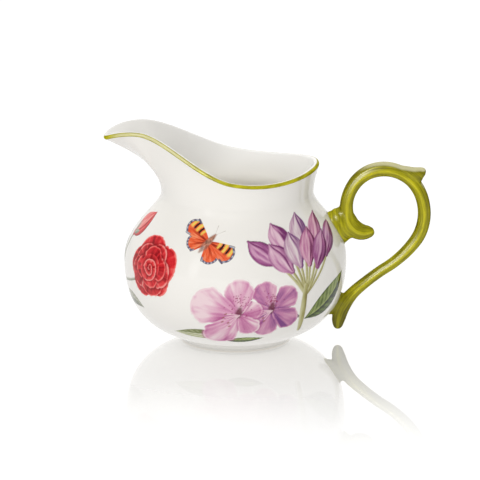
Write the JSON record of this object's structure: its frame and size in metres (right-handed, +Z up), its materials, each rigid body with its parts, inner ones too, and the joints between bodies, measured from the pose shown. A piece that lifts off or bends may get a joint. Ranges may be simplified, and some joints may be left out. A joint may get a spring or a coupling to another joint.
{
  "type": "cream jug",
  "caption": "Bone china cream jug: round belly on a foot ring, swept pouring spout, scroll handle, coloured lip line and printed flower and butterfly transfers.",
  "frame": {"origin": "middle of the jug's length and width, on the foot ring's resting plane; the belly's axis stands 13.08 mm towards the spout, at x = -0.01308", "axes": "+Z up, +X towards the handle, -X towards the pouring spout, XZ is the plane of symmetry of the forms"},
  "size_m": [0.135, 0.093, 0.0901],
  "materials": {
    "porcelain": "clear gloss glaze over white bone china",
    "handle_enamel": "hand-painted olive green under a gloss glaze",
    "rim_enamel": "olive green line, gloss",
    "slip": "fired luting slip, matt",
    "rose_print": "fired transfer print, gloss",
    "butterfly_print": "fired transfer print, gloss",
    "rhododendron_print": "fired transfer print, gloss"
  },
  "bodies": {
    "root": {"jug_body": "porcelain", "rim_line": "rim_enamel", "handle": "handle_enamel", "upper_slip_joint": "slip", "lower_slip_joint": "slip", "rose_transfer": "rose_print", "butterfly_transfer": "butterfly_print", "rhododendron_transfer": "rhododendron_print", "rear_butterfly_transfer": "butterfly_print", "rear_rhododendron_transfer": "rhododendron_print"}
  },
  "joints": []
}
